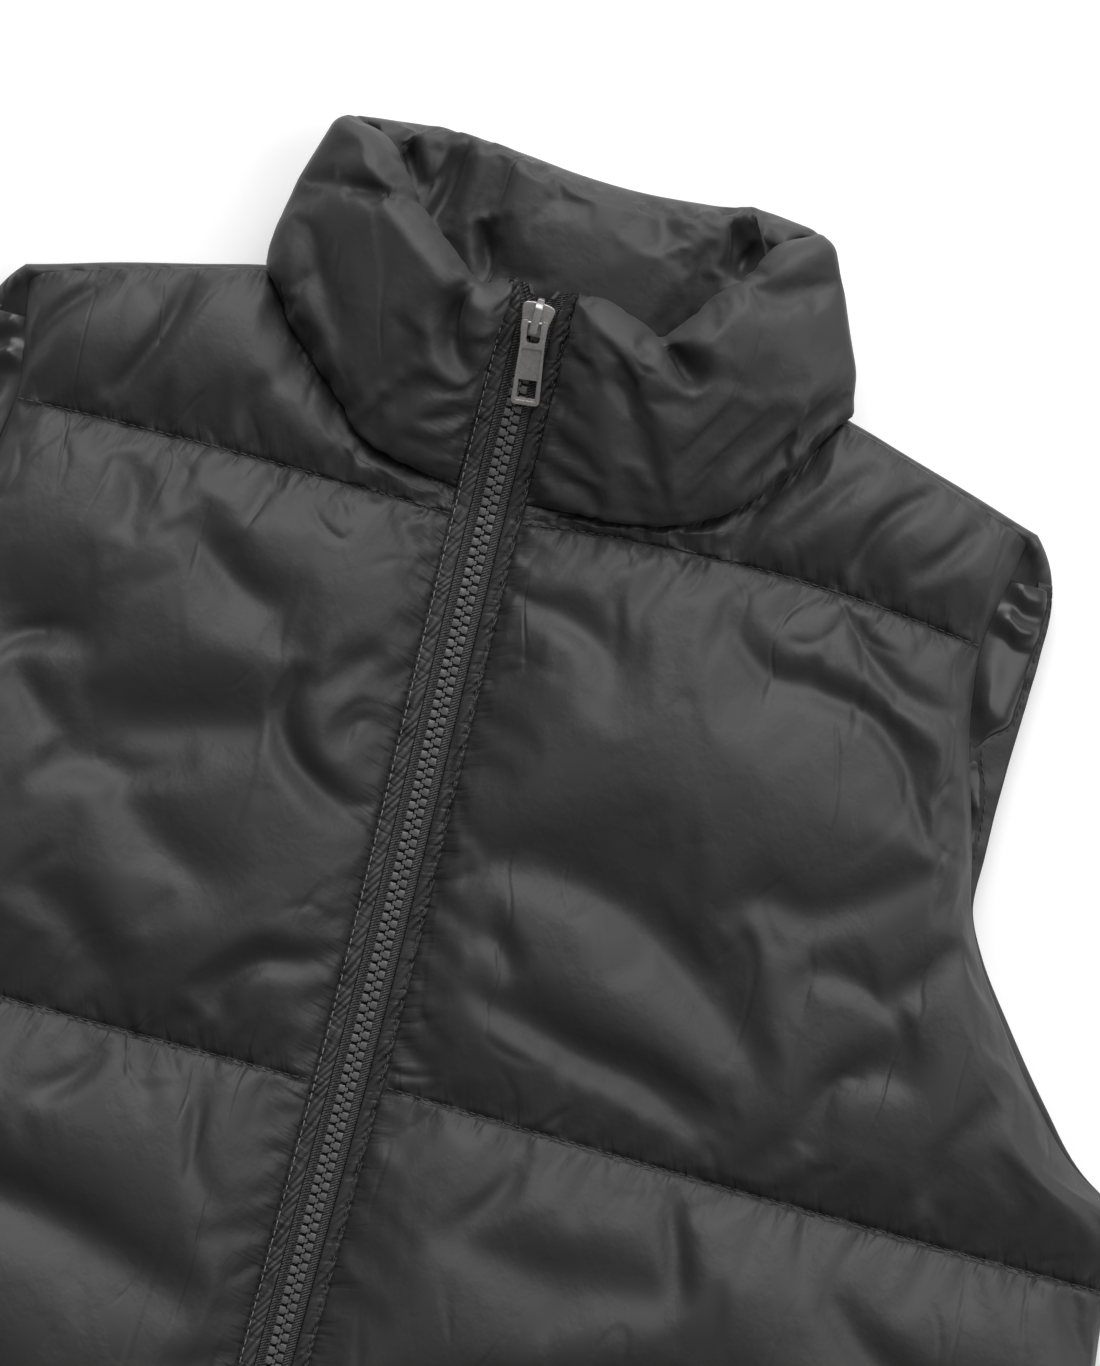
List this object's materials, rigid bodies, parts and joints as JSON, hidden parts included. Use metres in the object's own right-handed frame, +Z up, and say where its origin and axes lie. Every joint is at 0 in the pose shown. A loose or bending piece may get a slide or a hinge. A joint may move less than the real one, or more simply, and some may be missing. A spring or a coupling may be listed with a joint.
{
  "type": "puffer vest",
  "caption": "Sleeveless quilted padded vest lying flat on its back, zipped up to the top of a padded stand collar, with a hinged pull tab on the slider.",
  "frame": {"origin": "on the surface the vest lies on, under the middle of its outline", "axes": "+X towards the wearer's left side, +Y from the hem towards the collar, +Z up from the surface through the front"},
  "size_m": [0.5743, 0.6617, 0.0545],
  "materials": {
    "shell": "satin nylon taffeta, charcoal black",
    "lining": "glossy satin twill lining, black",
    "zip_tape": "woven zip tape, matte black",
    "zip_teeth": "moulded teeth, glossy black",
    "slider_metal": "satin gunmetal plating"
  },
  "bodies": {
    "garment": {"back": "shell", "collar_back": "shell", "collar_left": "shell", "collar_right": "shell", "front_left": "shell", "front_right": "shell", "placket_left": "shell", "placket_right": "shell", "armhole_facing_left": "shell", "armhole_facing_right": "shell", "back_lining_left": "lining", "back_lining_right": "lining", "zip_tape_left": "zip_tape", "zip_tape_right": "zip_tape", "zip_chain": "zip_teeth", "zip_box": "zip_teeth", "zip_slider": "slider_metal", "zip_stop_left": "slider_metal", "zip_stop_right": "slider_metal"},
    "pull": {"pull_tab": "slider_metal"}
  },
  "joints": [
    {"name": "pull_tab_hinge", "type": "hinge", "parent": "garment", "child": "pull", "pos_m": [-0.0052, 0.26628, 0.03629], "axis": [-0.9925, -0.1176, -0.032], "range_deg": [0, 150]}
  ]
}
